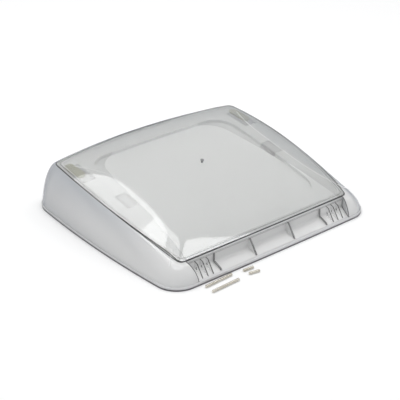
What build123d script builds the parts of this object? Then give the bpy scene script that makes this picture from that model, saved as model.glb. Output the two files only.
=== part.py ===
"""Dome set of a caravan roof window, lying rim down, with its four loose pins.

The origin is the middle of the dome's footprint, on the plane that the rim
stands on. +X runs along the hinge side, -Y points to the low hinge side and
+Z is up. All sizes are in millimetres.
"""
import os
from math import atan2, cos, pi, sin, tan

from build123d import *

# Plan of the rim, the lowest outline of the dome
dome_width = 500.0
dome_depth = 464.0
rim_front_taper = 10.0
rim_back_taper = 12.0
rim_front_bow = 2.0
rim_back_bow = 20.0
rim_front_radius = 45.0
rim_back_radius = 55.0
widest_y = 20.0

# How far the outer pane's edge, the dark line on top of the dome, lies inside the rim
side_shoulder = 23.0
front_corner_shoulder = 36.0
back_corner_shoulder = 17.0
front_shoulder = 29.0
back_shoulder = 52.0
pane_front_bow = 4.0
pane_back_bow = 16.0
pane_corner_radius = 10.0

# Height of the pane's edge line above the floor, and how the panes rise from it
edge_height_front = 37.0
edge_height_middle = 82.0
edge_height_back = 99.5
cross_crown = 5.0
pane_crown = 19.0
crown_power = 2.6

# Sheet thicknesses and joints
pane_thickness = 3.0
inner_thickness = 2.0
land_thickness = 2.0
wall_thickness = 3.0
layer_gap = 0.1
bond_width = 1.4
bond_sink = 0.2
bond_gap = 0.05

# Rounded sides of the skirt
shoulder_exponent = 1.56
wall_inset = 1.6
wall_root = 1.0
corner_gather = 0.8
fine_step = 0.25
cut_margin = 5.0

# Rail along the foot of the skirt
rail_height = 7.0
rail_width = 10.0
rail_round = 1.0

# Land on top of the skirt that both panes are bonded to
land_side = 37.0
land_front = 20.0
land_back = 18.0
land_corner_radius = 22.0
land_reach = 1.5
land_edge_inset = 0.5
land_edge_drop = 4.0

# Sunk field of the inner pane
field_side = 22.0
field_front = 15.0
field_back = 12.0
field_corner_radius = 42.0
field_depth = 6.0
field_root = 0.5

# Recess on the hinge side
recess_end_width = 55.4
recess_flare = 8.0
wall_foot_inset = 6.0
wall_corner_step = 1.0
wall_corner_z = 16.0
wall_corner_radius = 5.0
recess_wall = 2.4
end_wall_thickness = 2.0
rib_foot_step = 1.0
rib_top_stand = 3.0
rib_top_z = 36.0
rib_thickness = 2.0
rib_pitch = 12.2
middle_rib_pitch = 94.0
kink_rib_step = 54.6
kink_rib_stand = 2.6

# Hinge and bracket pins
pin_diameter = 5.0
bore_clearance = 0.05
hinge_pin_length = 62.0
bracket_pin_length = 22.0
pin_chamfer = 0.5
hinge_bore_stand = 6.7
hinge_bore_z = 20.0

# Oval buffers at the back corners and the sockets that hold them
buffer_inset = 22.0
buffer_step = 45.0
buffer_length = 54.0
buffer_width = 19.0
buffer_height = 12.0
buffer_clearance = 0.1
socket_wall = 1.4
socket_floor = 1.6

# Brackets at the middle of both sides, for the stay that lifts the dome
bracket_inset = 10.0
bracket_y = -20.0
bracket_length = 46.0
bracket_width = 17.0
bracket_base = 2.5
bracket_round = 3.0
ear_thickness = 3.0
ear_radius = 8.5
ear_bore_drop = 8.5

# Plug that closes the hole of the outer pane
plug_y = -14.0
plug_head_diameter = 7.0
plug_head_height = 1.0
plug_stem_diameter = 4.0
plug_stem_length = 7.0
plug_clearance = 0.1
plug_lift = 0.05

# Where each loose pin lies: how far its middle is from the recess' left end and
# in front of the rim, and its turn in degrees
hinge_pin_left_lie = (35.1, 9.0, 3.0)
hinge_pin_right_lie = (34.1, 29.0, 2.0)
bracket_pin_left_lie = (100.8, 12.2, -5.0)
bracket_pin_right_lie = (101.8, 27.0, -10.0)

# Distance over which the slope of a layer is taken
slope_run = 1.0

# Sizes that follow from the ones above
rim_front_half = dome_width / 2 - rim_front_taper
rim_back_half = dome_width / 2 - rim_back_taper
rim_front_y = rim_front_bow - dome_depth / 2
rim_back_y = dome_depth / 2 - rim_back_bow
pane_width = dome_width - 2 * side_shoulder
pane_front_half = rim_front_half - front_corner_shoulder
pane_back_half = rim_back_half - back_corner_shoulder
pane_front_y = rim_front_y + front_shoulder
pane_back_y = rim_back_y - back_shoulder
land_half_width = pane_width / 2 - land_side
land_front_y = pane_front_y + land_front
land_back_y = pane_back_y - land_back
field_half_width = land_half_width - field_side
field_front_y = land_front_y + field_front
field_back_y = land_back_y - field_back
recess_half_width = rim_front_half - recess_end_width
wall_foot_y = wall_foot_inset - dome_depth / 2
wall_corner_y = pane_front_y - wall_corner_step
rib_foot_y = wall_foot_y + rib_foot_step
rib_top_y = wall_corner_y - rib_top_stand
kink_rib_x = recess_half_width - kink_rib_step
hinge_bore_y = wall_corner_y - hinge_bore_stand
buffer_x = pane_width / 2 - buffer_inset
buffer_y = pane_back_y - buffer_step
bracket_x = land_half_width - bracket_inset
pin_radius = pin_diameter / 2
bore_radius = pin_radius + bore_clearance
inner_drop = pane_thickness + layer_gap
land_drop = inner_drop + inner_thickness + layer_gap
land_bottom = land_drop + land_thickness
wall_foot_z = rail_height + layer_gap
under_land = land_bottom + layer_gap
buffer_bottom = inner_drop + buffer_height
recess_end = recess_half_width + recess_flare
wall_back_y = wall_corner_y + recess_wall
floor_turn = atan2(wall_corner_z - wall_foot_z, wall_corner_y - wall_foot_y)
DOWN = (0, 0, -1)
TALL = 400.0


def edge_height(y):
    """Height of the pane's edge line, a parabola through its three heights."""
    front = (edge_height_front - edge_height_middle) / pane_front_y
    back = (edge_height_back - edge_height_middle) / pane_back_y
    bend = (back - front) / (pane_back_y - pane_front_y)
    return edge_height_middle + y * (front + (y - pane_front_y) * bend)


def base_height(x, y):
    """Height of the slightly crowned surface that carries all layers."""
    return edge_height(y) + cross_crown * (1 - (2 * x / pane_width) ** 2)


def outer_height(x, y):
    """Height of the outer pane, which swells above the carrying surface."""
    middle = (pane_front_y - pane_front_bow + pane_back_y + pane_back_bow) / 2
    reach = pane_back_y + pane_back_bow - middle
    across = 1 - abs(2 * x / pane_width) ** crown_power
    along = 1 - ((y - middle) / reach) ** 2
    return base_height(x, y) + pane_crown * across * along


def sheet(height, drop, steps=20):
    """Face that follows a height function, lowered by drop, all over the dome's footprint."""
    xs = [dome_width * (i / steps - 0.5) for i in range(steps + 1)]
    ys = [dome_depth * (i / steps - 0.5) for i in range(steps + 1)]
    rows = [[(x, y, height(x, y) - drop) for x in xs] for y in ys]
    return Face.make_surface_from_array_of_points(rows, tol=0.02)


def layer(plan, height, drop, thickness):
    """Curved sheet of even thickness inside a plan outline."""
    with BuildPart() as slab:
        extrude(to_extrude=sheet(height, drop), amount=thickness, dir=DOWN)
        extrude(to_extrude=plan, amount=TALL, mode=Mode.INTERSECT)
    return slab.part


def seat(x, y, height, drop):
    """Plane lowered by drop under a height function, turned about X to its slope at x and y."""
    rise = height(x, y + slope_run) - height(x, y)
    return Plane(origin=(x, y, height(x, y) - drop), x_dir=(1, 0, 0), z_dir=(0, -rise, slope_run))


def bowed_outline(halves, front_y, back_y, bows, radii, margin):
    """Outline of four bowed sides, moved outward all round by margin.

    The halves are its half widths in front, where it is widest, and at the back.
    """
    front, middle, back = (half + margin for half in halves)
    low, high = front_y - margin, back_y + margin
    with BuildSketch() as outline:
        with BuildLine():
            ThreePointArc((-front, low), (0, low - bows[0]), (front, low))
            ThreePointArc((front, low), (middle, widest_y), (back, high))
            ThreePointArc((back, high), (0, high + bows[1]), (-back, high))
            ThreePointArc((-back, high), (-middle, widest_y), (-front, low))
        make_face()
        fillet(outline.vertices().group_by(Axis.Y)[0], radii[0] + margin)
        fillet(outline.vertices().group_by(Axis.Y)[-1], radii[1] + margin)
    return outline.sketch


def rim_outline(margin=0.0):
    """Outline of the rim, the lowest part of the dome."""
    return bowed_outline(
        (rim_front_half, dome_width / 2, rim_back_half),
        rim_front_y,
        rim_back_y,
        (rim_front_bow, rim_back_bow),
        (rim_front_radius, rim_back_radius),
        margin,
    )


def pane_outline(margin=0.0):
    """Outline of the skirt's upper edge, in which the outer pane lies."""
    return bowed_outline(
        (pane_front_half, pane_width / 2, pane_back_half),
        pane_front_y,
        pane_back_y,
        (pane_front_bow, pane_back_bow),
        (pane_corner_radius, pane_corner_radius),
        margin,
    )


def field_outline(margin=0.0):
    """Outline of the sunk field of the inner pane."""
    with BuildSketch() as outline:
        with Locations((0, (field_front_y + field_back_y) / 2)):
            width = 2 * (field_half_width + margin)
            depth = field_back_y - field_front_y + 2 * margin
            RectangleRounded(width, depth, field_corner_radius + margin)
    return outline.sketch


def gathered(share):
    """Share of a way that moves slowly near both of its ends."""
    return share - corner_gather * sin(2 * pi * share) / (2 * pi)


def left_half(outline, recess_x, front_steps=8, side_steps=36, back_steps=36):
    """Points along an outline's left half, from the recess to the middle of the back.

    They stand closest together in the corners, where the outline bends most.
    """
    wire = outline.wire()
    count = round(wire.length / fine_step)
    marks = [i / count * wire.length for i in range(count)]
    loop = [wire.position_at(mark, position_mode=PositionMode.LENGTH) for mark in marks]
    left = sorted([p for p in loop if p.X < fine_step / 2], key=lambda p: atan2(-p.X, -p.Y))
    recess = min(range(len(left) // 2), key=lambda i: abs(left[i].X + recess_x))
    edges = outline.edges()
    corners = [edges.sort_by_distance((-dome_width, y))[0].center() for y in (-dome_width, dome_width)]
    front, back = (min(range(len(left)), key=lambda i: (left[i] - c).length) for c in corners)
    picked = [recess + (front - recess) * i / front_steps for i in range(front_steps)]
    picked += [front + (back - front) * gathered(i / side_steps) for i in range(side_steps)]
    to_middle = 2 * (len(left) - 1 - back)
    picked += [back + to_middle * gathered(i / back_steps) for i in range(back_steps // 2 + 1)]
    return [left[round(i)] for i in picked]


def round_shoulder(foot, top, drop, steps=9):
    """Points of the rounded side from its foot up to drop under the pane's edge."""
    power = 2 / shoulder_exponent
    foot_z = wall_foot_z - wall_root
    top_z = base_height(top.X, top.Y) - drop
    points = []
    for i in range(steps + 1):
        turn = pi / 2 * i / steps
        inward = 1 - max(cos(turn), 0) ** power
        upward = sin(turn) ** power
        x = foot.X + (top.X - foot.X) * inward
        y = foot.Y + (top.Y - foot.Y) * inward
        points.append(Vector(x, y, foot_z + (top_z - foot_z) * upward))
    return points


def shoulder_sections(depth, shift, overrun):
    """Sections of the surface that lies depth under the rounded sides, all the way round.

    Its two ends stand back from the recess by shift, and its top runs inward by overrun.
    """
    feet = left_half(rim_outline(-wall_inset - depth), recess_half_width + shift)
    tops = left_half(pane_outline(), recess_end + shift)
    sections = []
    for foot, top in zip(feet, tops):
        points = round_shoulder(foot, top, depth)
        if overrun:
            points.append(points[-1] + (top - foot).normalized() * overrun)
        sections.append(points)
    mirrored = [[Vector(-p.X, p.Y, p.Z) for p in section] for section in sections[-2::-1]]
    return sections + mirrored


def shoulder_face(depth, shift=0.0, overrun=0.0):
    """Face that lies depth under the rounded sides."""
    sections = shoulder_sections(depth, shift, overrun)
    return Face.make_surface_from_array_of_points(sections, tol=0.02)


def recess_plan(margin):
    """Plan of the recess, wider by margin at both ends, which spread towards the panes."""
    front = -dome_depth / 2 - cut_margin
    back = wall_back_y + cut_margin
    with BuildSketch() as plan:
        with BuildLine():
            Polyline(
                (-recess_reach(front) - margin, front),
                (recess_reach(front) + margin, front),
                (recess_reach(back) + margin, back),
                (-recess_reach(back) - margin, back),
                close=True,
            )
        make_face()
    return plan.sketch


def recess_reach(y):
    """Half width of the recess at y, on the straight line of its end walls."""
    foot, top = recess_ends
    return -foot.X - (top.X - foot.X) * (y - foot.Y) / (top.Y - foot.Y)


def under(face):
    """Solid between a face and the plane on which the walls stand."""
    with BuildPart() as bulk:
        extrude(to_extrude=face, amount=TALL, dir=DOWN)
        split(bisect_by=Plane.XY.offset(wall_foot_z), keep=Keep.TOP)
    return bulk.part


def recess_ribs(profile, middles, thickness):
    """Ribs of one profile across the recess, cut off under the land."""
    with BuildPart() as ribs:
        for x in middles:
            with BuildSketch(Plane.YZ.offset(x)):
                add(profile)
            extrude(amount=thickness / 2, both=True)
        extrude(to_extrude=sheet(base_height, under_land), amount=TALL, dir=DOWN, mode=Mode.INTERSECT)
    return ribs.part


def hinge_rib(number, side):
    """Bored gusset of one hinge, counted from the end wall of the recess."""
    middle = side * (recess_half_width - number * rib_pitch)
    with BuildPart() as rib:
        add(recess_ribs(rib_profile.sketch, [middle], rib_thickness))
        with Locations((middle, hinge_bore_y, hinge_bore_z)):
            Cylinder(bore_radius, 2 * rib_thickness, rotation=(0, 90, 0), mode=Mode.SUBTRACT)
    return rib.part


def oval(side, margin, drop):
    """Upright oval block at a buffer's place, margin larger than the buffer all round."""
    with BuildPart() as block:
        with BuildSketch(seat(side * buffer_x, buffer_y, outer_height, drop)):
            SlotOverall(buffer_length + 2 * margin, buffer_width + 2 * margin, rotation=90)
        extrude(amount=2 * buffer_height)
    return block.part


def pin(length, lie):
    """Chamfered pin lying on the floor."""
    across, ahead, turn = lie
    middle = Vector(across - recess_half_width, -dome_depth / 2 - ahead, pin_radius)
    along = Vector(1, 0, 0).rotate(Axis.Z, turn)
    with BuildPart() as rod:
        with BuildSketch(Plane(origin=middle - along * length / 2, z_dir=along)):
            Circle(pin_radius)
        extrude(amount=length)
        chamfer(rod.edges().filter_by(GeomType.CIRCLE), pin_chamfer)
    return rod.part


# Ends of the straight lines, seen from above, on which the recess' end walls stand
recess_ends = [left_half(rim_outline(-wall_inset), recess_half_width)[0], left_half(pane_outline(), recess_end)[0]]

# Plans of the land and of its raised edge, which both stay behind the recess
with BuildSketch() as land_plan:
    add(pane_outline(land_reach))
    add(recess_plan(end_wall_thickness + layer_gap), mode=Mode.SUBTRACT)
    add(pane_outline(-bond_gap))
    with Locations((0, (land_front_y + land_back_y) / 2)):
        opening = (2 * land_half_width, land_back_y - land_front_y)
        RectangleRounded(*opening, land_corner_radius, mode=Mode.SUBTRACT)
with BuildSketch() as land_edge_plan:
    add(pane_outline(land_reach - land_edge_inset))
    add(pane_outline(bond_gap), mode=Mode.SUBTRACT)
    add(recess_plan(end_wall_thickness + layer_gap), mode=Mode.SUBTRACT)

# Profile of the wall behind the recess, and of the gussets that stand in the recess
floor_drop = recess_wall / cos(floor_turn)
with BuildSketch() as wall_profile:
    with BuildLine():
        Polyline(
            (wall_foot_y, wall_foot_z),
            (wall_corner_y, wall_corner_z),
            (wall_corner_y, pane_width / 2),
            (wall_back_y, pane_width / 2),
            (wall_back_y, wall_corner_z - floor_drop + recess_wall * tan(floor_turn)),
            (wall_foot_y + floor_drop / tan(floor_turn), wall_foot_z),
            close=True,
        )
    make_face()
    inner_corner = wall_profile.vertices().sort_by_distance((wall_corner_y, wall_corner_z))[0]
    fillet(inner_corner, wall_corner_radius)
with BuildSketch() as gusset_profile:
    with BuildLine():
        Polyline(
            (rib_foot_y, wall_foot_z + (rib_foot_y - wall_foot_y) * tan(floor_turn)),
            (rib_top_y, rib_top_z),
            (wall_corner_y, rib_top_z),
            (wall_corner_y, wall_corner_z),
            close=True,
        )
    make_face()
with BuildSketch() as rib_profile:
    add(gusset_profile.sketch)
    add(wall_profile.sketch, mode=Mode.SUBTRACT)
with BuildSketch() as kink_profile:
    add(wall_profile.sketch)
    offset(amount=kink_rib_stand)
    add(gusset_profile.sketch, mode=Mode.INTERSECT)
    add(wall_profile.sketch, mode=Mode.SUBTRACT)

# Rail that the whole dome stands on
with BuildPart() as rim_rail:
    with BuildSketch():
        add(rim_outline())
        add(rim_outline(-rail_width), mode=Mode.SUBTRACT)
    extrude(amount=rail_height)
    fillet(rim_rail.faces().sort_by(Axis.Z)[-1].outer_wire().edges(), rail_round)

# Rounded sides, with the end walls of the recess
with BuildPart() as skirt:
    add(under(shoulder_face(0)))
    add(under(shoulder_face(wall_thickness, end_wall_thickness, cut_margin)), mode=Mode.SUBTRACT)

# Land that carries both panes, with a raised edge that is joined to the skirt's upper edge
with BuildPart() as land:
    add(layer(land_plan.sketch, base_height, land_drop, land_thickness))
    land_edge_height = land_drop + land_thickness / 2 - land_edge_drop
    add(layer(land_edge_plan.sketch, base_height, land_edge_drop, land_edge_height))
    for side in (-1, 1):
        add(oval(side, buffer_clearance, buffer_bottom), mode=Mode.SUBTRACT)

# Wall behind the recess, with the plain ribs at its middle and at its ends
kink_ribs = recess_ribs(kink_profile.sketch, (-kink_rib_x, kink_rib_x), rib_thickness)
middle_ribs = recess_ribs(rib_profile.sketch, (-middle_rib_pitch / 2, middle_rib_pitch / 2), rib_thickness)
with BuildPart() as hinge_wall:
    add(recess_ribs(wall_profile.sketch, [0], 2 * dome_width))
    extrude(to_extrude=recess_plan(-layer_gap), amount=TALL, mode=Mode.INTERSECT)
    add(middle_ribs)
    add(kink_ribs)

# Bored ribs that carry the hinge pins
with BuildPart() as hinge_rib_left_outer:
    add(hinge_rib(1, -1))
with BuildPart() as hinge_rib_left_middle:
    add(hinge_rib(2, -1))
with BuildPart() as hinge_rib_left_inner:
    add(hinge_rib(3, -1))
with BuildPart() as hinge_rib_right_outer:
    add(hinge_rib(1, 1))
with BuildPart() as hinge_rib_right_middle:
    add(hinge_rib(2, 1))
with BuildPart() as hinge_rib_right_inner:
    add(hinge_rib(3, 1))

# Outer pane, which swells above the skirt, and the joint around it
plug_place = seat(0, plug_y, outer_height, 0)
with BuildPart() as outer_pane:
    add(layer(pane_outline(-bond_width), outer_height, 0, pane_thickness))
    with Locations(plug_place):
        Cylinder(plug_stem_diameter / 2 + plug_clearance, 4 * pane_thickness, mode=Mode.SUBTRACT)
with BuildSketch() as bond_plan:
    add(pane_outline(-bond_gap))
    add(pane_outline(bond_gap - bond_width), mode=Mode.SUBTRACT)
with BuildPart() as pane_bond:
    add(layer(bond_plan.sketch, base_height, bond_sink, land_drop - layer_gap - bond_sink))

# Inner pane with its sunk field and the holes that the buffers stand in
with BuildPart() as inner_pane:
    add(layer(pane_outline(-bond_width), base_height, inner_drop, inner_thickness))
    step_height = inner_thickness + field_depth - field_root
    add(layer(field_outline(inner_thickness), base_height, inner_drop + field_root, step_height))
    sunk = layer(field_outline(), base_height, inner_drop - field_root, field_depth + field_root)
    add(sunk, mode=Mode.SUBTRACT)
    for side in (-1, 1):
        add(oval(side, buffer_clearance, buffer_bottom), mode=Mode.SUBTRACT)

# Plug in the hole of the outer pane
with BuildPart() as vent_plug:
    with Locations(plug_place.offset(plug_lift)):
        Cylinder(plug_stem_diameter / 2, plug_stem_length, align=(Align.CENTER, Align.CENTER, Align.MAX))
        Cylinder(plug_head_diameter / 2, plug_head_height, align=(Align.CENTER, Align.CENTER, Align.MIN))

# Oval buffers under the outer pane, standing through the inner pane and the land
with BuildPart() as buffer_left:
    add(oval(-1, 0, buffer_bottom))
    extrude(to_extrude=sheet(outer_height, inner_drop), amount=TALL, dir=DOWN, mode=Mode.INTERSECT)
with BuildPart() as buffer_right:
    mirror(buffer_left.part, about=Plane.YZ)

# Sockets under the land that hold the buffers
socket_bottom = buffer_bottom + layer_gap + socket_floor
with BuildPart() as buffer_socket_left:
    add(oval(-1, buffer_clearance + socket_wall, socket_bottom))
    add(oval(-1, buffer_clearance, buffer_bottom + layer_gap), mode=Mode.SUBTRACT)
    extrude(to_extrude=sheet(base_height, under_land), amount=TALL, dir=DOWN, mode=Mode.INTERSECT)
with BuildPart() as buffer_socket_right:
    mirror(buffer_socket_left.part, about=Plane.YZ)

# Brackets under the inner pane, each with two bored ears
bracket_plane = seat(-bracket_x, bracket_y, base_height, land_drop + bracket_base)
ear_plane = Plane(origin=bracket_plane.origin, x_dir=bracket_plane.y_dir, z_dir=(1, 0, 0))
with BuildPart() as bracket_left:
    with BuildSketch(bracket_plane):
        RectangleRounded(bracket_width, bracket_length, bracket_round)
    extrude(amount=2 * bracket_base)
    for edge in (-1, 1):
        with BuildSketch(ear_plane.offset(edge * (bracket_width / 2 - ear_thickness))):
            Rectangle(2 * ear_radius, 2 * ear_bore_drop)
            with Locations((0, -ear_bore_drop)):
                Circle(ear_radius)
                Circle(bore_radius, mode=Mode.SUBTRACT)
        extrude(amount=edge * ear_thickness)
    extrude(to_extrude=sheet(base_height, land_drop), amount=TALL, dir=DOWN, mode=Mode.INTERSECT)
with BuildPart() as bracket_right:
    mirror(bracket_left.part, about=Plane.YZ)

# Loose pins on the floor in front of the dome
with BuildPart() as hinge_pin_left:
    add(pin(hinge_pin_length, hinge_pin_left_lie))
with BuildPart() as hinge_pin_right:
    add(pin(hinge_pin_length, hinge_pin_right_lie))
with BuildPart() as bracket_pin_left:
    add(pin(bracket_pin_length, bracket_pin_left_lie))
with BuildPart() as bracket_pin_right:
    add(pin(bracket_pin_length, bracket_pin_right_lie))

pieces = {
    "rim_rail": rim_rail,
    "skirt": skirt,
    "land": land,
    "hinge_wall": hinge_wall,
    "hinge_rib_left_outer": hinge_rib_left_outer,
    "hinge_rib_left_middle": hinge_rib_left_middle,
    "hinge_rib_left_inner": hinge_rib_left_inner,
    "hinge_rib_right_outer": hinge_rib_right_outer,
    "hinge_rib_right_middle": hinge_rib_right_middle,
    "hinge_rib_right_inner": hinge_rib_right_inner,
    "outer_pane": outer_pane,
    "inner_pane": inner_pane,
    "pane_bond": pane_bond,
    "vent_plug": vent_plug,
    "buffer_left": buffer_left,
    "buffer_right": buffer_right,
    "buffer_socket_left": buffer_socket_left,
    "buffer_socket_right": buffer_socket_right,
    "bracket_left": bracket_left,
    "bracket_right": bracket_right,
    "hinge_pin_left": hinge_pin_left,
    "hinge_pin_right": hinge_pin_right,
    "bracket_pin_left": bracket_pin_left,
    "bracket_pin_right": bracket_pin_right,
}
os.makedirs("parts", exist_ok=True)
for name, piece in pieces.items():
    piece.part.label = name
    export_step(piece.part, f"parts/{name}.step")
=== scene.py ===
"""Looks of the dome set of a caravan roof window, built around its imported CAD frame.

Every piece is in metres, in the frame of the CAD part: +X runs along the hinge
side, -Y points to the low hinge side and +Z is up.
"""

import logging
import math
from dataclasses import dataclass, field
from enum import Enum
from functools import cached_property

import bmesh
import bpy
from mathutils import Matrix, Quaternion, Vector


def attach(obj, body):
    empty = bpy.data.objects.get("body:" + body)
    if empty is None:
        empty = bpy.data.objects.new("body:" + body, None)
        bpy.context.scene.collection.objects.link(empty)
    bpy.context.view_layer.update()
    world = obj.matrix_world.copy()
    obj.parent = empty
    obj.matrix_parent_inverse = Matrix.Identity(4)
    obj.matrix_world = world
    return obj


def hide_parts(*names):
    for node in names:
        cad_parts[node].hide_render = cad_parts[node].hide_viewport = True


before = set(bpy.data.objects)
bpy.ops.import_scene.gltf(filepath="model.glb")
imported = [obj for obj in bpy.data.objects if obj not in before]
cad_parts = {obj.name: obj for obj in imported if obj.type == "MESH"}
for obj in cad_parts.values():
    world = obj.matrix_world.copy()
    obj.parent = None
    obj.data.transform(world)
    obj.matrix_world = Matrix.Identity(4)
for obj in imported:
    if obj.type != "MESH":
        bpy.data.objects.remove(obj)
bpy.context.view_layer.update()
log = logging.getLogger("dome_set")

Colour = tuple[float, float, float]
Socket = bpy.types.NodeSocket
Sockets = bpy.types.bpy_prop_collection
Tree = bpy.types.NodeTree
Piece = bpy.types.Object
Finish = bpy.types.Material

ACROSS, UP = Vector((1, 0, 0)), Vector((0, 0, 1))
WHITE = (1.0, 1.0, 1.0)
ACRYLIC_INDEX = 1.49

# Layout of the nodes, in the units of Blender's node editor
NODES_PER_ROW = 7
COLUMN_STEP, ROW_STEP = 220, -260

# Noises of the surfaces: clouds per metre and finer layers in them
SLOW_WAVES, FINE_WAVES = (14.0, 1.0), (160.0, 2.0)
HAZE_CLOUDS, DUST_SPECKS = (9.0, 5.0), (900.0, 1.0)
GRAIN, COLOUR_DRIFT = (1500.0, 3.0), (60.0, 4.0)
FINE_WAVE_SHARE = 0.04

# Values between which the masks rise from 0 to 1
HAZE_RISE, DUST_RISE, DRIFT_RISE = (0.35, 0.75), (0.68, 0.74), (0.3, 0.7)
# SLANT_SHADE_RISE places painted shade where a sheet is seen at a slant; SIDEWAYS_RISE and
# FRONT_RISE place the painted shade on a rib's front faces
SIDEWAYS_RISE, FRONT_RISE, SLANT_SHADE_RISE = (0.3, 0.7), (0.1, 0.3), (0.36, 0.85)

# The same for masks that go by metres
# HIGH_SHADE_RISE and FOOT_SHADE_RISE place painted shade towards the top and at the foot
HIGH_SHADE_RISE, FOOT_SHADE_RISE = (0.03, 0.10), (0.0015, 0.0045)
FIELD_RISE, BOSS_RISE = (-0.0005, 0.0015), (0.0, 0.006)

# Sunk field of the inner pane, seen from above. Flare is how much it widens per
# metre towards the front
FIELD = {
    "Half Width": 0.142, "Half Depth": 0.19, "Middle": -0.06, "Corner": 0.042, "Flare": 0.13,
}
# Places on both sides where the inner pane is clearer: over the brackets and the sockets
BOSSES = (
    {"Across": 0.178, "Along": -0.016, "Half Across": 0.018, "Half Along": 0.024, "Depth": 0.58},
    {"Across": 0.200, "Along": 0.102, "Half Across": 0.018, "Half Along": 0.034, "Depth": 0.55},
)


class SocketKind(Enum):
    """Kinds of socket that the shared effects take and give."""

    VALUE = "NodeSocketFloat"
    VECTOR = "NodeSocketVector"


class Side(Enum):
    """The two mirrored sides of the dome."""

    LEFT = -1
    RIGHT = 1

    @property
    def word(self) -> str:
        """Word that stands in the names of this side's nodes."""
        return self.name.lower()


@dataclass
class NodeSheet:
    """Lays out and links the nodes of one tree.

    Args:
        tree: The node tree that the nodes go into.
    """

    tree: Tree

    def add(self, kind: str, **values: object) -> bpy.types.Node:
        """Adds one node.

        Args:
            kind: Blender's name of the node type.
            values: Attributes of the node.

        Returns:
            The new node.
        """
        node = self.tree.nodes.new(kind)
        for name, value in values.items():
            setattr(node, name, value)
        row, column = divmod(len(self.tree.nodes), NODES_PER_ROW)
        node.location = (COLUMN_STEP * column, ROW_STEP * row)
        return node

    def feed(self, target: Socket, value: object) -> None:
        """Links an input to a socket, or sets its plain value.

        Args:
            target: The input.
            value: A socket, or the plain value.
        """
        if isinstance(value, Socket):
            self.tree.links.new(value, target)
        else:
            target.default_value = value

    def math(self, operation: str, *values: object) -> Socket:
        """Adds a calculation.

        Args:
            operation: Blender's name of the calculation.
            values: Sockets or numbers that it takes, in order.

        Returns:
            The socket with the result.
        """
        node = self.add("ShaderNodeMath", operation=operation)
        for target, value in zip(node.inputs, values):
            self.feed(target, value)
        return node.outputs[0]

    def noise(self, place: Socket, scale: float, detail: float) -> Socket:
        """Adds cloudy noise.

        Args:
            place: Socket with the place on the piece, in metres.
            scale: How many clouds go into one metre.
            detail: How many finer layers the clouds hold.

        Returns:
            The socket with a value around one half.
        """
        node = self.add("ShaderNodeTexNoise")
        node.inputs["Scale"].default_value = scale
        node.inputs["Detail"].default_value = detail
        self.feed(node.inputs["Vector"], place)
        return node.outputs["Fac"]

    def ramp(self, value: Socket, low: float, high: float) -> Socket:
        """Adds a smooth rise from 0 to 1 between two values.

        Args:
            value: Socket with the value that is mapped.
            low: Value at which the rise starts.
            high: Value at which it ends.

        Returns:
            The socket with the mapped value.
        """
        node = self.add("ShaderNodeMapRange", interpolation_type="SMOOTHSTEP")
        node.inputs["From Min"].default_value = low
        node.inputs["From Max"].default_value = high
        self.feed(node.inputs["Value"], value)
        return node.outputs["Result"]

    def axes(self, vector: Socket) -> Sockets:
        """Splits a vector.

        Args:
            vector: Socket with the vector.

        Returns:
            The sockets X, Y and Z.
        """
        node = self.add("ShaderNodeSeparateXYZ")
        self.feed(node.inputs[0], vector)
        return node.outputs

    def mix(self, first: Socket | Colour, second: Colour, share: Socket) -> Socket:
        """Leads one colour over to another.

        Args:
            first: Socket with the first colour, or the colour itself.
            second: The second colour.
            share: Socket with the share of the second colour.

        Returns:
            The socket with the mixed colour.
        """
        node = self.add("ShaderNodeMix", data_type="RGBA")
        linked = isinstance(first, Socket)
        self.feed(node.inputs["A"], first if linked else (*first, 1.0))
        self.feed(node.inputs["B"], (*second, 1.0))
        self.feed(node.inputs["Factor"], share)
        return node.outputs["Result"]

    def bump(self, height: Socket) -> Socket:
        """Adds a bump that takes its height in metres.

        Args:
            height: Socket with the height.

        Returns:
            The socket with the bumped normal.
        """
        node = self.add("ShaderNodeBump")
        node.inputs["Strength"].default_value = node.inputs["Distance"].default_value = 1.0
        self.feed(node.inputs["Height"], height)
        return node.outputs["Normal"]

    def effect(self, group: Tree, values: dict[str, object]) -> Sockets:
        """Places a shared effect.

        Args:
            group: The effect's node group.
            values: Sockets or numbers for its inputs, by name.

        Returns:
            The effect's outputs.
        """
        node = self.add("ShaderNodeGroup", node_tree=group)
        for name, value in values.items():
            self.feed(node.inputs[name], value)
        return node.outputs


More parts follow.
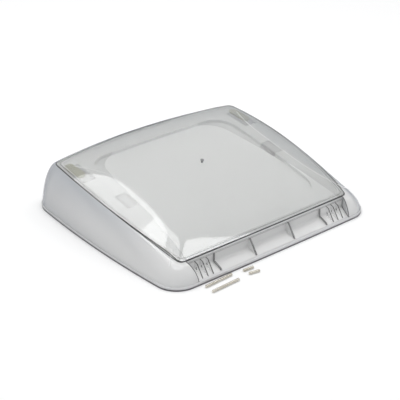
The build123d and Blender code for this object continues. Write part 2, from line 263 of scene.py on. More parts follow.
class SurfaceEffects:
    """The shader groups that several finishes share, each built on its first use."""

    @staticmethod
    def group(
        name: str, vector: str, takes: tuple[str, ...], gives: tuple[str, ...]
    ) -> tuple[NodeSheet, Sockets, Sockets]:
        """Starts a node group.

        Args:
            name: The group's name.
            vector: Name of its one input that takes a vector.
            takes: Names of its inputs that take a value.
            gives: Names of its outputs.

        Returns:
            The group's sheet, the sockets that start it and those that end it.
        """
        tree = bpy.data.node_groups.new(name, "ShaderNodeTree")
        sockets = [(vector, "INPUT", SocketKind.VECTOR)]
        sockets += [(label, "INPUT", SocketKind.VALUE) for label in takes]
        sockets += [(label, "OUTPUT", SocketKind.VALUE) for label in gives]
        for label, way, kind in sockets:
            tree.interface.new_socket(label, in_out=way, socket_type=kind.value)
        start, end = tree.nodes.new("NodeGroupInput"), tree.nodes.new("NodeGroupOutput")
        return NodeSheet(tree), start.outputs, end.inputs

    @cached_property
    def moulded_sheet(self) -> Tree:
        """Slow waves, handling haze and specks of dust of a moulded clear sheet.

        Returns:
            The group, with a height, a haze mask and a dust mask.
        """
        sheet, start, end = self.group(
            "moulded_sheet", "Place", ("Wave", "Haze", "Dust"), ("Height", "Haze", "Dust")
        )
        place = start["Place"]
        fine = sheet.math("MULTIPLY", sheet.noise(place, *FINE_WAVES), FINE_WAVE_SHARE)
        waves = sheet.math("ADD", sheet.noise(place, *SLOW_WAVES), fine)
        clouds = sheet.ramp(sheet.noise(place, *HAZE_CLOUDS), *HAZE_RISE)
        specks = sheet.ramp(sheet.noise(place, *DUST_SPECKS), *DUST_RISE)
        sheet.feed(end["Height"], sheet.math("MULTIPLY", waves, start["Wave"]))
        sheet.feed(end["Haze"], sheet.math("MULTIPLY", clouds, start["Haze"]))
        sheet.feed(end["Dust"], sheet.math("MULTIPLY", specks, start["Dust"]))
        return sheet.tree

    @cached_property
    def moulded_grain(self) -> Tree:
        """Fine grain and slow colour drift of an opaque piece.

        Returns:
            The group, with a height and a drift mask.
        """
        sheet, start, end = self.group(
            "moulded_grain", "Place", ("Depth", "Drift"), ("Height", "Drift")
        )
        grain = sheet.noise(start["Place"], *GRAIN)
        drift = sheet.ramp(sheet.noise(start["Place"], *COLOUR_DRIFT), *DRIFT_RISE)
        sheet.feed(end["Height"], sheet.math("MULTIPLY", grain, start["Depth"]))
        sheet.feed(end["Drift"], sheet.math("MULTIPLY", drift, start["Drift"]))
        return sheet.tree

    @cached_property
    def rib_front_shade(self) -> Tree:
        """Mask of the narrow front face of a rib that stands across the recess, on which shade is
        painted.

        Returns:
            The group, with a mask that is 1 on faces that look to the front.
        """
        sheet, start, end = self.group("rib_front_shade", "Facing", (), ("Edge",))
        axes = sheet.axes(start["Facing"])
        sideways = sheet.ramp(sheet.math("ABSOLUTE", axes["X"]), *SIDEWAYS_RISE)
        narrow = sheet.math("SUBTRACT", 1.0, sideways)
        front = sheet.ramp(sheet.math("MULTIPLY", axes["Y"], -1.0), *FRONT_RISE)
        sheet.feed(end["Edge"], sheet.math("MULTIPLY", narrow, front))
        return sheet.tree

    @cached_property
    def sunk_field(self) -> Tree:
        """Mask of a rounded field seen from above, which widens towards the front.

        Returns:
            The group, with a mask that is 1 inside the field.
        """
        sheet, start, end = self.group("sunk_field", "Place", tuple(FIELD), ("Inside",))
        axes = sheet.axes(start["Place"])
        place = sheet.math("SUBTRACT", axes["Y"], start["Middle"])
        behind = sheet.math("SUBTRACT", place, start["Half Depth"])
        wider = sheet.math("MULTIPLY", behind, start["Flare"])
        across = sheet.math("ADD", sheet.math("ABSOLUTE", axes["X"]), wider)
        along = sheet.math("ABSOLUTE", place)
        squares = []
        for way, half in ((across, "Half Width"), (along, "Half Depth")):
            straight = sheet.math("SUBTRACT", start[half], start["Corner"])
            over = sheet.math("MAXIMUM", sheet.math("SUBTRACT", way, straight), 0.0)
            squares.append(sheet.math("MULTIPLY", over, over))
        away = sheet.math("SQRT", sheet.math("ADD", *squares))
        outside = sheet.ramp(sheet.math("SUBTRACT", away, start["Corner"]), *FIELD_RISE)
        sheet.feed(end["Inside"], sheet.math("SUBTRACT", 1.0, outside))
        return sheet.tree

    @cached_property
    def clear_boss(self) -> Tree:
        """Share of density that a sheet has left where it is clearer.

        Returns:
            The group, with a share that is 1 away from the boss.
        """
        sheet, start, end = self.group("clear_boss", "Place", tuple(BOSSES[0]), ("Left",))
        axes = sheet.axes(start["Place"])
        away = sheet.math("SUBTRACT", sheet.math("ABSOLUTE", axes["X"]), start["Across"])
        off = sheet.math("SUBTRACT", axes["Y"], start["Along"])
        inside = []
        for way, half in ((away, "Half Across"), (off, "Half Along")):
            room = sheet.math("SUBTRACT", start[half], sheet.math("ABSOLUTE", way))
            inside.append(sheet.ramp(room, *BOSS_RISE))
        boss = sheet.math("MULTIPLY", sheet.math("MULTIPLY", *inside), start["Depth"])
        sheet.feed(end["Left"], sheet.math("SUBTRACT", 1.0, boss))
        return sheet.tree


EFFECTS = SurfaceEffects()


def start_finish(name: str) -> tuple[Finish, NodeSheet, Sockets]:
    """Starts a material.

    Args:
        name: Its name.

    Returns:
        The material, the sheet of its nodes and the inputs of its shader.
    """
    made = bpy.data.materials.new(name)
    made.use_nodes = True
    return made, NodeSheet(made.node_tree), made.node_tree.nodes["Principled BSDF"].inputs


@dataclass(frozen=True)
class ClearFinish:
    """Clear moulded acrylic, on which shade can be painted: on a rib's front faces, at a slant,
    at the top and at the foot.

    Args:
        name: Name of the material.
        colour: Colour that one sheet lets through.
        clearness: How much of it lets light straight through. The rest is milky.
        rib_shade_colour: Painted shade on a rib's narrow front faces.
        slant_shade_colour: Painted shade that it goes to where it is seen at a slant.
        high_shade_colour: Painted shade that its highest part goes to.
        foot_shade_colour: Painted shade of its lowest few millimetres, darker at the floor.
        border_density: How dense it is outside the sunk field, or 1 where it is even.
        side_density: How dense the broad faces of a rib are, or 1 where it is even.
        dust_colour: Colour of the dust on it.
        wave: Height of its slow waves in metres.
        haze: How much the handling haze roughens it.
        dust: How much dust lies on it.
        roughness: Roughness of the clean surface.
    """

    name: str
    colour: Colour
    clearness: float = 1.0
    rib_shade_colour: Colour | None = None
    slant_shade_colour: Colour | None = None
    high_shade_colour: Colour | None = None
    foot_shade_colour: Colour | None = None
    border_density: float = 1.0
    side_density: float = 1.0
    dust_colour: Colour = (0.80, 0.80, 0.78)
    wave: float = 0.0004
    haze: float = 0.08
    dust: float = 0.25
    roughness: float = 0.02

    def material(self) -> Finish:
        """Builds the material.

        Returns:
            The material with its nodes.
        """
        made, sheet, shader = start_finish(self.name)
        shader["Transmission Weight"].default_value = self.clearness
        shader["IOR"].default_value = ACRYLIC_INDEX
        place = sheet.add("ShaderNodeTexCoord").outputs["Object"]
        values = {"Place": place, "Wave": self.wave, "Haze": self.haze, "Dust": self.dust}
        effect = sheet.effect(EFFECTS.moulded_sheet, values)
        tone = sheet.mix(self.colour, self.dust_colour, effect["Dust"])
        # Painted shade towards the top, at a slant and at the foot
        tone = self.shaded(sheet, tone, place)
        # Painted shade: a rib's narrow front faces are darkened
        if self.rib_shade_colour:
            edge = self.rib_shade_mask(sheet)
            tone = sheet.mix(tone, self.rib_shade_colour, edge)
            share = 1.0 - self.side_density
            density = sheet.math("MULTIPLY_ADD", edge, share, self.side_density)
            sheet.feed(shader["Alpha"], density)
        if self.border_density < 1.0:
            sheet.feed(shader["Alpha"], self.border_mask(sheet, place))
        sheet.feed(shader["Base Color"], tone)
        sheet.feed(shader["Roughness"], sheet.math("ADD", effect["Haze"], self.roughness))
        sheet.feed(shader["Normal"], sheet.bump(effect["Height"]))
        return made

    def shaded(self, sheet: NodeSheet, tone: Socket, place: Socket) -> Socket:
        """Paints shade: leads the plain colour over to the painted shade of its high, slanted and
        lowest parts.

        Args:
            sheet: The material's nodes.
            tone: Socket with the plain colour.
            place: Socket with the place on the piece.

        Returns:
            The socket with the new colour.
        """
        height = sheet.axes(place)["Z"]
        # Painted shade, darker towards the top
        if self.high_shade_colour:
            tone = sheet.mix(tone, self.high_shade_colour, sheet.ramp(height, *HIGH_SHADE_RISE))
        # Painted shade, darker where the sheet is seen at a slant
        if self.slant_shade_colour:
            slant = sheet.add("ShaderNodeLayerWeight").outputs["Facing"]
            tone = sheet.mix(tone, self.slant_shade_colour, sheet.ramp(slant, *SLANT_SHADE_RISE))
        # Painted shade, darker at the foot
        if self.foot_shade_colour:
            foot = sheet.math("SUBTRACT", 1.0, sheet.ramp(height, *FOOT_SHADE_RISE))
            tone = sheet.mix(tone, self.foot_shade_colour, foot)
        return tone

    def rib_shade_mask(self, sheet: NodeSheet) -> Socket:
        """Finds a rib's narrow front faces, on which shade is painted.

        Args:
            sheet: The material's nodes.

        Returns:
            The socket with a mask that is 1 on them where they are seen from outside.
        """
        surface = sheet.add("ShaderNodeNewGeometry").outputs
        edge = sheet.effect(EFFECTS.rib_front_shade, {"Facing": surface["True Normal"]})["Edge"]
        return sheet.math("MULTIPLY", edge, sheet.math("SUBTRACT", 1.0, surface["Backfacing"]))

    def border_mask(self, sheet: NodeSheet, place: Socket) -> Socket:
        """Makes the sheet less dense outside its sunk field and over the bosses.

        Args:
            sheet: The material's nodes.
            place: Socket with the place on the piece.

        Returns:
            The socket with the density.
        """
        inside = sheet.effect(EFFECTS.sunk_field, {"Place": place, **FIELD})["Inside"]
        share = 1.0 - self.border_density
        density = sheet.math("MULTIPLY_ADD", inside, share, self.border_density)
        for sizes in BOSSES:
            boss = sheet.effect(EFFECTS.clear_boss, {"Place": place, **sizes})
            density = sheet.math("MULTIPLY", density, boss["Left"])
        return density


@dataclass(frozen=True)
class OpaqueFinish:
    """Moulded plastic, rubber or drawn steel, with a fine grain and a slow colour drift.

    Args:
        name: Name of the material.
        colour: Its colour.
        drift_colour: Colour that it drifts to.
        roughness: Its roughness.
        drift_roughness: How much rougher it is where its colour has drifted.
        drift: How far its colour drifts.
        grain: Height of its grain in metres.
        metallic: 1 for a metal, else 0.
    """

    name: str
    colour: Colour
    drift_colour: Colour
    roughness: float
    drift_roughness: float = 0.1
    drift: float = 1.0
    grain: float = 0.00002
    metallic: float = 0.0

    def material(self) -> Finish:
        """Builds the material.

        Returns:
            The material with its nodes.
        """
        made, sheet, shader = start_finish(self.name)
        shader["Metallic"].default_value = self.metallic
        place = sheet.add("ShaderNodeTexCoord").outputs["Object"]
        values = {"Place": place, "Depth": self.grain, "Drift": self.drift}
        effect = sheet.effect(EFFECTS.moulded_grain, values)
        drift = effect["Drift"]
        rough = sheet.math("MULTIPLY_ADD", drift, self.drift_roughness, self.roughness)
        sheet.feed(shader["Base Color"], sheet.mix(self.colour, self.drift_colour, drift))
        sheet.feed(shader["Roughness"], rough)
        sheet.feed(shader["Normal"], sheet.bump(effect["Height"]))
        return made


def dress(node: str, material: Finish) -> Piece:
    """Gives a CAD node its finish.

    Args:
        node: Name of the node.
        material: The material for all its slots.

    Returns:
        The node's object.
    """
    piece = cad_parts[node]
    for place in range(len(piece.data.materials)):
        piece.data.materials[place] = material
    return piece


def add_object(name: str, data: bpy.types.ID) -> Piece:
    """Puts a new object into the scene.

    Args:
        name: Its name.
        data: Its mesh, lamp or camera.

    Returns:
        The object.
    """
    made = bpy.data.objects.new(name, data)
    bpy.context.scene.collection.objects.link(made)
    return made


def mesh_object(name: str, mesh: bmesh.types.BMesh, material: Finish) -> Piece:
    """Turns a finished mesh into an object.

    Args:
        name: Its name.
        mesh: The mesh, which is freed.
        material: Its finish.

    Returns:
        The object.
    """
    bmesh.ops.recalc_face_normals(mesh, faces=mesh.faces)
    data = bpy.data.meshes.new(name)
    mesh.to_mesh(data)
    mesh.free()
    data.materials.append(material)
    return add_object(name, data)


def circle(middle: Vector, side: Vector, up: Vector, radius: float, steps: int) -> list[Vector]:
    """Points of a circle in the plane of two directions.

    Args:
        middle: Its centre.
        side: The first direction.
        up: The second one.
        radius: Its radius.
        steps: How many points it gets.

    Returns:
        The points.
    """
    turns = [2 * math.pi * k / steps for k in range(steps)]
    return [middle + (side * math.cos(t) + up * math.sin(t)) * radius for t in turns]


def ring_mesh(name: str, rings: list[list[Vector]], material: Finish, closed: bool) -> Piece:
    """Builds a smooth skin through rings of points, which rides on the dome.

    Args:
        name: Name of the piece.
        rings: The rings, each with the same number of points.
        material: Its finish.
        closed: Whether the last ring joins the first.

    Returns:
        The piece.
    """
    mesh = bmesh.new()
    corners = [[mesh.verts.new(place) for place in ring] for ring in rings]
    for i in range(len(rings) if closed else len(rings) - 1):
        ring, after = corners[i], corners[(i + 1) % len(rings)]
        for k in range(len(ring)):
            following = (k + 1) % len(ring)
            around = (ring[k], after[k], after[following], ring[following])
            mesh.faces.new(around).smooth = True
    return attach(mesh_object(name, mesh, material), "dome")


@dataclass
class CrownedSurface:
    """The crowned surface that the panes follow, in metres.

    Args:
        heights: Height of the pane's edge line in front, at the middle and at the back.
        front_y: Where the pane's straight front edge lies.
        back_y: Where its straight back edge lies.
        width: Its greatest width.
        crown: How much the surface rises towards its middle line.
    """

    heights: tuple[float, float, float] = (0.037, 0.082, 0.0995)
    front_y: float = -0.201
    back_y: float = 0.160
    width: float = 0.454
    crown: float = 0.005

    def height(self, x: float, y: float) -> float:
        """Height of the surface at a place."""
        front = (self.heights[0] - self.heights[1]) / self.front_y
        back = (self.heights[2] - self.heights[1]) / self.back_y
        bend = (back - front) / (self.back_y - self.front_y)
        edge = self.heights[1] + y * (front + (y - self.front_y) * bend)
        return edge + self.crown * (1 - (2 * x / self.width) ** 2)


def arc_points(start: Vector, middle: Vector, end: Vector, count: int) -> list[Vector]:
    """Points on the flat arc through three points.

    Args:
        start: Where the arc starts.
        middle: A point on its way, off the straight line to its end.
        end: Where it ends.
        count: How many points it gets, without its end.

    Returns:
        The points.
    """
    chord, rise = (end - start) / 2, middle - (start + end) / 2
    along = chord.normalized()
    rise -= along * rise.dot(along)
    share = (middle - start).dot(along) / (2 * chord.length)
    half, reach, lift = chord.length, (2 * share - 1) * chord.length, rise.length
    below = (half ** 2 - reach ** 2 - lift ** 2) / (2 * lift)
    up = rise.normalized()
    centre = (start + end) / 2 - up * below
    radius = (start - centre).length
    open_half = math.asin(min(1.0, half / radius))
    angles = [-open_half + 2 * open_half * i / count for i in range(count)]
    return [centre + (along * math.sin(a) + up * math.cos(a)) * radius for a in angles]


@dataclass
class PaneOutline:
    """Outline of the outer pane's border, seen from above.

    Args:
        front_half: Half width of its front edge.
        back_half: Half width of its back edge.
        bows: How far the front and back edges bow out.
        corner: Radius of its corners.
        corner_steps: How many steps the round of a corner has.
        widest_y: Where it is widest.
        spacing: About how far apart its points are.
        surface: The crowned surface that it lies on.
    """

    front_half: float = 0.204
    back_half: float = 0.221
    bows: tuple[float, float] = (0.004, 0.016)
    corner: float = 0.010
    corner_steps: int = 6
    widest_y: float = 0.020
    spacing: float = 0.004
    surface: CrownedSurface = field(default_factory=CrownedSurface)

    def points(self, inset: float) -> list[Vector]:
        """Points of the outline, moved inward.

        Args:
            inset: How far they lie inside the outline.

        Returns:
            The points, with rounded corners, from the front left on.
        """
        front, back = self.front_half - inset, self.back_half - inset
        low, high = self.surface.front_y + inset, self.surface.back_y - inset
        widest = self.surface.width / 2 - inset
        ways = [
            ((-front, low), (0, low - self.bows[0]), (front, low)),
            ((front, low), (widest, self.widest_y), (back, high)),
            ((back, high), (0, high + self.bows[1]), (-back, high)),
            ((-back, high), (-widest, self.widest_y), (-front, low)),
        ]
        sides = []
        for way in ways:
            start, middle, end = (Vector((x, y, 0)) for x, y in way)
            count = round((end - start).length / self.spacing)
            sides.append([*arc_points(start, middle, end, count), end])
        skip = math.ceil(self.corner / self.spacing)
        points = []
        for i, side in enumerate(sides):
            points += self.rounded(sides[i - 1], side)
            points += side[skip:-skip]
        return points

    def rounded(self, before: list[Vector], after: list[Vector]) -> list[Vector]:
        """Rounds the corner between two sides.

        Args:
            before: Points of the side that ends in the corner.
            after: Points of the side that starts there.

        Returns:
            Points of the round, without its ends.
        """
        corner = after[0]
        into = (before[-1] - before[-3]).normalized()
        out = (after[2] - corner).normalized()
        first, last = corner - into * self.corner, corner + out * self.corner
        shares = [i / self.corner_steps for i in range(1, self.corner_steps)]
        return [
            first * (1 - t) ** 2 + corner * (2 * t * (1 - t)) + last * t ** 2 for t in shares
        ]


@dataclass
class JointLine:
    """Thin line along the border of the panes, all the way round.

    Args:
        name: Name of the piece.
        slot: A material slot of the record; not used.
        inset: How far the line lies inside the pane's outline.
        radius: Radius of the line.
        steps: How many faces go round it.
        outline: The outline that it follows.
    """

    name: str = "joint_line"
    slot: str = "dark_bond"
    inset: float = 0.0006
    radius: float = 0.0011
    steps: int = 8
    outline: PaneOutline = field(default_factory=PaneOutline)

    def build(self, material: Finish) -> Piece:
        """Builds the line as a tube.

        Args:
            material: Its finish.

        Returns:
            The piece, riding on the dome.
        """
        points = self.outline.points(self.inset)
        rings = []
        for i, point in enumerate(points):
            way = (points[(i + 1) % len(points)] - points[i - 1]).normalized()
            out = Vector((way.y, -way.x, 0))
            height = self.outline.surface.height(point.x, point.y) - self.radius / 2
            middle = Vector((point.x, point.y, height))
            rings.append(circle(middle, out, UP, self.radius, self.steps))
        line = ring_mesh(self.name, rings, material, closed=True)
        return line


@dataclass
class SwelledPane:
    """Outer pane with soft slopes along its edges and a flatter middle.

    Args:
        inset: How far its edge lies inside the pane's outline.
        thickness: Thickness of the sheet.
        rise: How much its middle stands above the surface that carries it.
        across_power: How flat its middle is across.
        front_power: How flat its middle is towards the front.
        back_power: How flat its middle is towards the back.
        slopes: Steepness of the slopes at the sides and at the front and back.
        softness: How much the crease between slope and middle is rounded.
        hole: Centre and radius of the plug's hole.
        rows: How many rings it has between hole and edge.
        outline: The outline that it lies in.
    """

    inset: float = 0.0014
    thickness: float = 0.003
    rise: float = 0.0188
    across_power: float = 8.0
    front_power: float = 4.0
    back_power: float = 2.0
    slopes: tuple[float, float] = (0.30, 0.28)
    softness: float = 0.0015
    hole: tuple[float, float, float] = (0.0, -0.014, 0.0021)
    rows: int = 72
    outline: PaneOutline = field(default_factory=PaneOutline)

    def lift(self, x: float, y: float) -> float:
        """How much the pane stands above the surface that carries it.

        Args:
            x: Place across.
            y: Place along.

        Returns:
            The height of the swell there.
        """
        surface, bows = self.outline.surface, self.outline.bows
        low, high = surface.front_y - bows[0], surface.back_y + bows[1]
        middle, reach = (low + high) / 2, (high - low) / 2
        across = min(abs(2 * x / surface.width), 1)
        along = (y - middle) / reach
        power = self.front_power if along < 0 else self.back_power
        flat = (1 - across ** self.across_power) * max(1 - abs(along) ** power, 0)
        side = self.slopes[0] * max(surface.width / 2 - abs(x), 0)
        end = self.slopes[1] * max(reach - abs(y - middle), 0)
        return self.soft_least(self.soft_least(self.rise * flat, side), end)

    def soft_least(self, first: float, second: float) -> float:
        """Smaller of two heights, with a rounded crease where they are equal."""
        share = max(self.softness - abs(first - second), 0.0) / self.softness
        return max(min(first, second) - share ** 2 * self.softness / 4, 0.0)

    def top(self, x: float, y: float) -> float:
        """Height of the pane's upper side at a place."""
        return self.outline.surface.height(x, y) + self.lift(x, y)

    def build(self, material: Finish) -> Piece:
        """Builds the pane.

        Args:
            material: Its finish.

        Returns:
            The piece, which stands for the CAD pane.
        """
        across, along, radius = self.hole
        centre, edge = Vector((across, along, 0)), self.outline.points(self.inset)
        upper = []
        for row in range(self.rows + 1):
            ring = []
            for point in edge:
                start = centre + (point - centre).normalized() * radius
                place = start.lerp(point, row / self.rows)
                place.z = self.top(place.x, place.y)
                ring.append(place)
            upper.append(ring)
        lower = [[point - UP * self.thickness for point in ring] for ring in reversed(upper)]
        pane = ring_mesh("swelled_pane", upper + lower, material, closed=True)
        sharpen(pane)
        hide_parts("outer_pane")
        return pane


@dataclass
class PaneCrease:
    """Bright line of painted highlight along the crease where a side slope of the outer pane
    meets its middle.

    Args:
        side: The side that it lies on.
        pane: The pane.
        reach: Where it starts and ends along the dome.
        radius: Radius of the line.
        count: How many points it has.
        steps: How many faces go round it.
        probe: Distance over which the pane's steepness is taken.
        halvings: How often the search for the crease halves its range.
    """

    side: Side
    pane: SwelledPane
    reach: tuple[float, float] = (-0.196, 0.12)
    radius: float = 0.0005
    count: int = 64
    steps: int = 6
    probe: float = 0.0005
    halvings: int = 24

    def half_width(self, y: float) -> float:
        """Distance from the middle line at which the pane is half as steep as its slope."""
        low, high = 0.0, self.pane.outline.surface.width / 2
        half_drop = self.pane.slopes[0] * self.probe / 2
        for _ in range(self.halvings):
            middle = (low + high) / 2
            drop = self.pane.lift(middle, y) - self.pane.lift(middle + self.probe, y)
            low, high = (middle, high) if drop < half_drop else (low, middle)
        return low

    def build(self, material: Finish) -> Piece:
        """Builds the line.

        Args:
            material: Its finish.

        Returns:
            The piece, riding on the dome.
        """
        rings = []
        start, end = self.reach
        for i in range(self.count):
            y = start + (end - start) * i / (self.count - 1)
            x = self.side.value * self.half_width(y)
            middle = Vector((x, y, self.pane.top(x, y) - self.radius / 2))
            rings.append(circle(middle, ACROSS, UP, self.radius, self.steps))
        line = ring_mesh(f"pane_crease_{self.side.word}", rings, material, closed=False)
        return line


def sharpen(piece: Piece, angle: float = 50.0) -> None:
    """Keeps a piece's hard edges crisp while the rest is smooth.

    Args:
        piece: The piece.
        angle: Angle in degrees from which an edge counts as hard.
    """
    mesh = bmesh.new()
    mesh.from_mesh(piece.data)
    limit = math.radians(angle)
    for edge in mesh.edges:
        if len(edge.link_faces) == 2 and edge.calc_face_angle() > limit:
            edge.smooth = False
    mesh.to_mesh(piece.data)
    mesh.free()


@dataclass
class PaintedShadeLines:
    """Thin dark lines of painted shade along the sharp edges of clear pieces, where such edges
    show dark.

    Args:
        name: Name of the piece that holds the lines.
        nodes: The CAD nodes whose edges they follow.
        radius: Radius of a line.
        front_only: Whether only outward edges of faces that look to the front get one.
        behind: Place along behind which edges stay without a line.
        angle: Angle in degrees from which an edge counts as sharp.
        lowest: Height below which edges stay without a line.
        steps: How many faces go round a line.
        weld: Distance below which two corners of the mesh are one.
        slightest: How much a face looks to the front at least, as a share.
        sideways: How much a face or an edge points sideways at most, as a share.
    """

    name: str
    nodes: tuple[str, ...]
    radius: float
    front_only: bool = False
    behind: float = 1.0
    angle: float = 35.0
    lowest: float = 0.004
    steps: int = 5
    weld: float = 0.00001
    slightest: float = 0.15
    sideways: float = 0.5

    def edges(self, node: str) -> list[tuple[Vector, Vector]]:
        """Finds the edges of a node that get a line.

        Args:
            node: Name of the node.

        Returns:
            Both ends of each edge.
        """
        mesh = bmesh.new()
        mesh.from_mesh(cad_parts[node].data)
        bmesh.ops.remove_doubles(mesh, verts=mesh.verts, dist=self.weld)
        limit = math.radians(self.angle)
        found = []
        for edge in mesh.edges:
            start, end = (corner.co.copy() for corner in edge.verts)
            sharp = len(edge.link_faces) == 2 and edge.calc_face_angle() > limit
            inside = min(start.z, end.z) > self.lowest and max(start.y, end.y) < self.behind
            if sharp and inside and (not self.front_only or self.in_front(edge)):
                found.append((start, end))
        mesh.free()
        return found

    def in_front(self, edge: bmesh.types.BMEdge) -> bool:
        """Whether an edge juts out, doesn't run across and bounds a face that looks forward."""
        run = (edge.verts[1].co - edge.verts[0].co).normalized()
        normals = [face.normal for face in edge.link_faces]
        front = any(
            abs(normal.x) < self.sideways and normal.y < -self.slightest for normal in normals
        )
        return edge.is_convex and front and abs(run.x) < self.sideways

    def build(self, material: Finish) -> Piece:
        """Builds the lines.

        Args:
            material: Their finish.

        Returns:
            The piece, riding on the dome.
        """
        mesh = bmesh.new()
        for start, end in (edge for node in self.nodes for edge in self.edges(node)):
            along = (end - start).normalized()
            side = along.orthogonal().normalized()
            up = along.cross(side)
            first, last = (
                [mesh.verts.new(at) for at in circle(place, side, up, self.radius, self.steps)]
                for place in (start, end)
            )
            for k in range(self.steps):
                following = (k + 1) % self.steps
                mesh.faces.new((first[k], first[following], last[following], last[k]))
            mesh.faces.new(first)
            mesh.faces.new(last)
        piece = mesh_object(self.name, mesh, material)
        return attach(piece, "dome")


@dataclass
class DomeShell:
    """The clear pieces that make up the dome's body.

    Args:
        wall: Finish of the land, the weld line's ring, the sockets and the brackets.
        skirt: Finish of the rounded sides.
        rail: Finish of the rail along the foot.
        back_wall: Finish of the wall behind the recess.
        rib: Finish of the ribs at the ends of the recess.
        smoke: Finish of the outer pane.
        inner: Finish of the inner pane.
        weld: Finish of the dark line round the outer pane.
        line_shade: Finish of the dark lines of painted shade along clear edges.
        bright: Finish of the bright lines of painted highlight.
    """

    # The slant, high and foot colours of these finishes are painted shade
    wall: ClearFinish = ClearFinish(
        "clear_wall", (0.97, 0.975, 0.975), 0.3, slant_shade_colour=(0.74, 0.76, 0.78)
    )
    skirt: ClearFinish = ClearFinish(
        "clear_skirt", (0.98, 0.98, 0.975), 0.4,
        slant_shade_colour=(0.34, 0.36, 0.41), high_shade_colour=(0.76, 0.78, 0.81),
    )
    rail: ClearFinish = ClearFinish(
        "foot_rail", (0.93, 0.935, 0.94), 0.3,
        slant_shade_colour=(0.42, 0.43, 0.45), foot_shade_colour=(0.12, 0.11, 0.125),
    )
    back_wall: ClearFinish = ClearFinish("clear_back_wall", (0.98, 0.98, 0.975), 0.35)
    # The rib's rib_shade_colour is painted shade on its narrow front faces
    rib: ClearFinish = ClearFinish(
        "clear_rib", (0.95, 0.95, 0.95), 0.6, rib_shade_colour=(0.02, 0.02, 0.022), side_density=0.12
    )
    smoke: ClearFinish = ClearFinish(
        "smoke_pane", (0.985, 0.99, 0.985), 0.93, wave=0.0001, haze=0.02
    )
    inner: ClearFinish = ClearFinish(
        "inner_sheet", (0.985, 0.99, 0.985), 0.1, border_density=0.7, roughness=0.35
    )
    weld: OpaqueFinish = OpaqueFinish("weld_line", (0.02, 0.02, 0.022), (0.05, 0.05, 0.05), 0.3)
    # Painted shade: near-black lines along clear edges
    line_shade: OpaqueFinish = OpaqueFinish(
        "painted_line_shade", (0.02, 0.02, 0.022), (0.06, 0.06, 0.06), 0.3
    )
    # Painted highlight: near-white lines on the creases and the ledge
    bright: OpaqueFinish = OpaqueFinish(
        "painted_highlight", (0.96, 0.96, 0.96), (0.88, 0.88, 0.88), 0.2
    )

    def build(self) -> list[Piece]:
        """Dresses the shell's nodes and adds its lines.

        Returns:
            The pieces.
        """
        wall, rib = self.wall.material(), self.rib.material()
        names = ["land", "pane_bond"]
        names += [f"{kind}_{side.word}" for side in Side for kind in ("buffer_socket", "bracket")]
        pieces = [dress(name, wall) for name in names]
        pieces.append(dress("skirt", self.skirt.material()))
        pieces.append(dress("rim_rail", self.rail.material()))
        pieces.append(dress("hinge_wall", self.back_wall.material()))
        for side in Side:
            for place in ("outer", "middle", "inner"):
                pieces.append(dress(f"hinge_rib_{side.word}_{place}", rib))
        pane = SwelledPane()
        pieces.append(pane.build(self.smoke.material()))
        pieces.append(dress("inner_pane", self.inner.material()))
        return pieces + self.lines(pane)

    def lines(self, pane: SwelledPane) -> list[Piece]:
        """Adds the lines of the panes, the recess and the fittings: the dark joint line, dark
        lines of painted shade and bright lines of painted highlight.

        Args:
            pane: The outer pane.

        Returns:
            The pieces that hold the lines.
        """
        weld, line_shade, bright = (
            finish.material() for finish in (self.weld, self.line_shade, self.bright)
        )
        slot = "clear_acrylic"
        pieces = [
            JointLine().build(weld),
            # Along the ledge: a dark line of painted shade and a bright line of painted highlight
            JointLine("ledge_line", slot, inset=0.0065, radius=0.0003).build(line_shade),
            JointLine("ledge_gleam", slot, inset=0.0095, radius=0.0006).build(bright),
            # Dark lines of painted shade along the clear edges of the recess, the skirt's ends
            # and the land
            PaintedShadeLines("recess_lines", ("hinge_wall",), 0.0006, front_only=True).build(line_shade),
            PaintedShadeLines(
                "end_lines", ("skirt",), 0.0006, front_only=True, behind=-0.2025
            ).build(line_shade),
            PaintedShadeLines("land_lines", ("land",), 0.0003).build(line_shade),
        ]
        # Bright lines of painted highlight along the creases of the outer pane
        pieces += [PaneCrease(side, pane).build(bright) for side in Side]
        # Dark lines of painted shade along the edges of the brackets and sockets
        for side in Side:
            nodes = (f"bracket_{side.word}", f"buffer_socket_{side.word}")
            name = f"fitting_lines_{side.word}"
            pieces.append(PaintedShadeLines(name, nodes, 0.0006).build(line_shade))
        return pieces


@dataclass
class Fittings:
    """Buffers, plug and loose pins.

    Args:
        rubber: Finish of the buffers.
        plug: Finish of the plug.
        steel: Finish of the pins.
    """

    rubber: OpaqueFinish = OpaqueFinish(
        "buffer_rubber", (0.36, 0.36, 0.26), (0.44, 0.43, 0.33), 0.6
    )
    plug: OpaqueFinish = OpaqueFinish(
        "plug_plastic", (0.17, 0.17, 0.18), (0.24, 0.24, 0.24), 0.45
    )
    steel: OpaqueFinish = OpaqueFinish(
        "pin_steel", (0.70, 0.67, 0.60), (0.52, 0.48, 0.40), 0.18,
        drift_roughness=0.2, drift=0.6, grain=0.00001, metallic=1.0,
    )

    def build(self) -> list[Piece]:
        """Dresses the fittings.

        Returns:
            The dressed pieces.
        """
        rubber, steel = self.rubber.material(), self.steel.material()
        pieces = [dress(f"buffer_{side.word}", rubber) for side in Side]
        pieces.append(dress("vent_plug", self.plug.material()))
        for side in Side:
            pieces += [dress(f"{kind}_pin_{side.word}", steel) for kind in ("hinge", "bracket")]
        return pieces


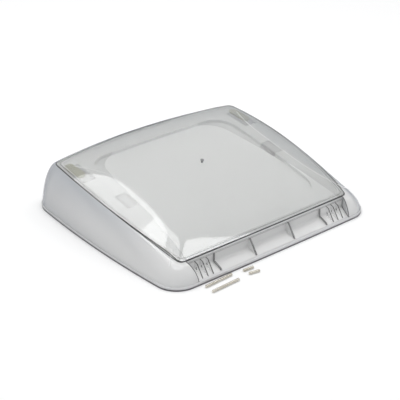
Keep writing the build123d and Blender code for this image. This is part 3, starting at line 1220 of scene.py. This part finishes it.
@dataclass(frozen=True)
class SoftBox:
    """Lamp that hangs round the object and shines on the middle of its foot.

    Args:
        name: Name of the lamp.
        turn: Angle in degrees at which it hangs, from +Y towards +X.
        rise: Its height above the floor in degrees.
        away: Its distance in metres.
        size: Its width and height in metres.
        power: Its power in watts.
        roll: Angle in degrees by which it is turned in its own plane.
        shape: Blender's name of its shape.
    """

    name: str
    turn: float
    rise: float
    away: float
    size: tuple[float, float]
    power: float
    roll: float = 0.0
    shape: str = "RECTANGLE"

    def build(self) -> Piece:
        """Hangs the lamp.

        Returns:
            The lamp.
        """
        data = bpy.data.lights.new(self.name, "AREA")
        data.shape = self.shape
        data.size, data.size_y = self.size
        data.energy = self.power
        turn, rise = math.radians(self.turn), math.radians(self.rise)
        across, along = math.sin(turn) * math.cos(rise), math.cos(turn) * math.cos(rise)
        way = Vector((across, along, math.sin(rise))).normalized()
        made = add_object(self.name, data)
        made.location = way * self.away
        made.rotation_mode = "QUATERNION"
        roll = Quaternion((0, 0, 1), math.radians(self.roll))
        made.rotation_quaternion = way.to_track_quat("Z", "Y") @ roll
        return made


@dataclass
class Studio:
    """Floor, light and camera.

    Args:
        azimuth: Angle in degrees at which the camera stands, from -Y towards +X.
        elevation: Its height above the horizon in degrees.
        distance: How far it stands from the point that it looks at.
        target: That point.
        lens: Its focal length in millimetres.
        sensor: Width of its sensor in millimetres.
        shift: How far the picture is shifted, as shares of its width.
        clip: Nearest and farthest distance that it sees.
        floor_size: Side of the floor in metres.
        floor_sink: How far it lies below the rim.
        floor_tone: Its colour.
        floor_roughness: Its roughness.
        floor_glow: How much it glows where it is seen, so that it stays white.
        horizon: Colour of the light from the horizon.
        zenith: Colour of the light from above.
        sky_rise: Between which heights the one goes over to the other.
        boxes: The lamps.
    """

    azimuth: float = -39.379
    elevation: float = 27.203
    distance: float = 2.3363
    target: tuple[float, float, float] = (0.0, 0.0, 0.04)
    lens: float = 108.7
    sensor: float = 36.0
    shift: tuple[float, float] = (0.0063, -0.0316)
    clip: tuple[float, float] = (0.05, 100.0)
    floor_size: float = 24.0
    floor_sink: float = 0.0002
    floor_tone: Colour = (0.845, 0.845, 0.845)
    floor_roughness: float = 0.9
    floor_glow: float = 0.08
    horizon: Colour = (0.44, 0.46, 0.49)
    zenith: Colour = (0.74, 0.74, 0.74)
    sky_rise: tuple[float, float] = (0.05, 0.6)
    boxes: tuple[SoftBox, ...] = (
        SoftBox("top_box", 0, 90, 3.2, (2.4, 2.4), 34, shape="DISK"),
        SoftBox("left_box", 6, 65, 3.0, (0.75, 1.5), 10.6),
        SoftBox("front_box", 116, 59, 3.0, (0.5, 0.9), 4.8, roll=-17),
    )

    def camera(self) -> Piece:
        """Sets up the camera where the photographer stood.

        Returns:
            The camera.
        """
        data = bpy.data.cameras.new("camera")
        data.lens, data.sensor_width = self.lens, self.sensor
        data.shift_x, data.shift_y = self.shift
        data.clip_start, data.clip_end = self.clip
        turn, rise = math.radians(self.azimuth), math.radians(self.elevation)
        across, along = math.sin(turn) * math.cos(rise), -math.cos(turn) * math.cos(rise)
        back = Vector((across, along, math.sin(rise)))
        made = add_object("camera", data)
        made.location = Vector(self.target) + back * self.distance
        made.rotation_mode = "QUATERNION"
        made.rotation_quaternion = (-back).to_track_quat("-Z", "Y")
        bpy.context.scene.camera = made
        return made

    def floor(self) -> Piece:
        """Lays the pale floor.

        Returns:
            The floor, which is not part of the object.
        """
        half = self.floor_size / 2
        corners = [(-half, -half), (half, -half), (half, half), (-half, half)]
        mesh = bpy.data.meshes.new("floor")
        mesh.from_pydata([(x, y, -self.floor_sink) for x, y in corners], [], [(0, 1, 2, 3)])
        made = add_object("floor", mesh)
        paint, sheet, shader = start_finish("floor_paint")
        shader["Base Color"].default_value = (*self.floor_tone, 1.0)
        shader["Roughness"].default_value = self.floor_roughness
        shader["Specular IOR Level"].default_value = 0.0
        path = sheet.add("ShaderNodeLightPath").outputs
        seen = sheet.math("MAXIMUM", path["Is Camera Ray"], path["Is Glossy Ray"])
        seen = sheet.math("MAXIMUM", seen, path["Is Transmission Ray"])
        shader["Emission Color"].default_value = (*WHITE, 1.0)
        sheet.feed(shader["Emission Strength"], sheet.math("MULTIPLY", seen, self.floor_glow))
        mesh.materials.append(paint)
        return made

    def world(self) -> bpy.types.World:
        """Paints the studio: bright above, greyer towards the horizon, white to the camera.

        Returns:
            The world.
        """
        made = bpy.data.worlds.new("studio")
        bpy.context.scene.world = made
        made.use_nodes = True
        sheet = NodeSheet(made.node_tree)
        height = sheet.axes(sheet.add("ShaderNodeTexCoord").outputs["Generated"])["Z"]
        shade = sheet.mix(self.horizon, self.zenith, sheet.ramp(height, *self.sky_rise))
        seen = sheet.add("ShaderNodeLightPath").outputs["Is Camera Ray"]
        background = made.node_tree.nodes["Background"].inputs
        sheet.feed(background["Color"], sheet.mix(shade, WHITE, seen))
        return made

    def build(self) -> None:
        """Sets up the whole studio."""
        bpy.context.scene.view_settings.view_transform = "Standard"
        self.floor()
        self.world()
        for box in self.boxes:
            box.build()
        self.camera()


def main() -> None:
    """Builds all pieces in order."""
    for part in (DomeShell(), Fittings()):
        for piece in part.build():
            log.info("%s: %s", type(part).__name__, piece.name)
    Studio().build()


if __name__ == "__main__":
    logging.basicConfig(level=logging.INFO)
    main()
